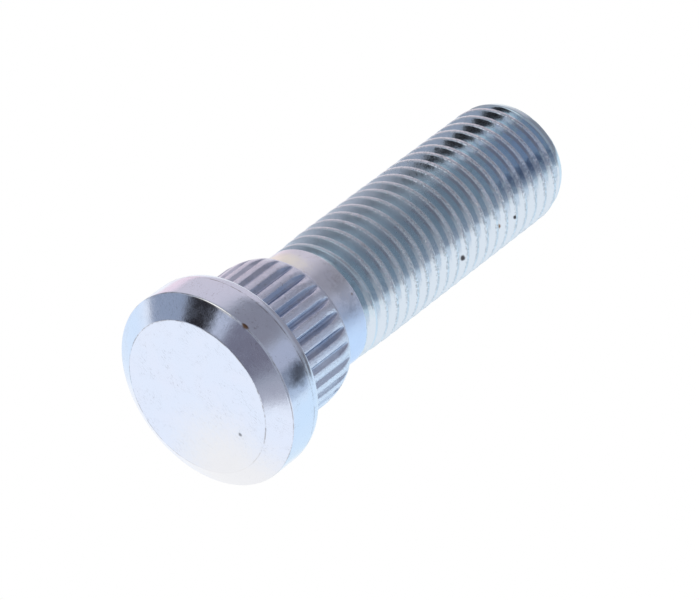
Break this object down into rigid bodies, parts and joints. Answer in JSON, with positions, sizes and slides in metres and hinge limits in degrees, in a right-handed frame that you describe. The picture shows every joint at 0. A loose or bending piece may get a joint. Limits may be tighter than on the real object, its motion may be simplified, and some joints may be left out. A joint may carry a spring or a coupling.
{
  "type": "wheel stud",
  "caption": "Press-in wheel stud: flat round bevelled head, serrated collar, short plain neck and long metric thread, bright zinc plating.",
  "frame": {"origin": "centre of the flat end of the head, on which the stud stands", "axes": "+Z along the stud's axis, from the head to the thread's end"},
  "size_m": [0.0186, 0.0186, 0.0468],
  "materials": {
    "plated_steel": "bright zinc plating with a faint blue cast, satin, edges lightly worn"
  },
  "bodies": {
    "root": {"wheel_stud": "plated_steel"}
  },
  "joints": []
}
